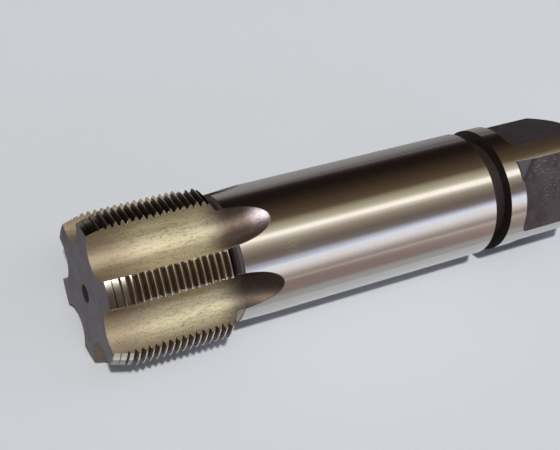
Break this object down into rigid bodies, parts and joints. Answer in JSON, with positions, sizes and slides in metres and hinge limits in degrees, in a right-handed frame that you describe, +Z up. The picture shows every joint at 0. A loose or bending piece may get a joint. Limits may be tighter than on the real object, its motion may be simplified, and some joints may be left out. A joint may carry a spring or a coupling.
{
  "type": "pipe tap",
  "caption": "Hand tap for parallel pipe threads: fluted threaded head, ground shank, turned groove and square end, all in one piece.",
  "frame": {"origin": "middle of the overall length, on the surface the tap lies on, straight below its axis", "axes": "+X along the axis from the threaded face to the square end, +Z up through the middle of a flute"},
  "size_m": [0.194, 0.0538, 0.0505],
  "materials": {
    "tool_steel": "ground shank, straw-tinted brushed flutes, dark scale on the end face, groove and flats"
  },
  "bodies": {
    "root": {"pipe_tap": "tool_steel"}
  },
  "joints": []
}
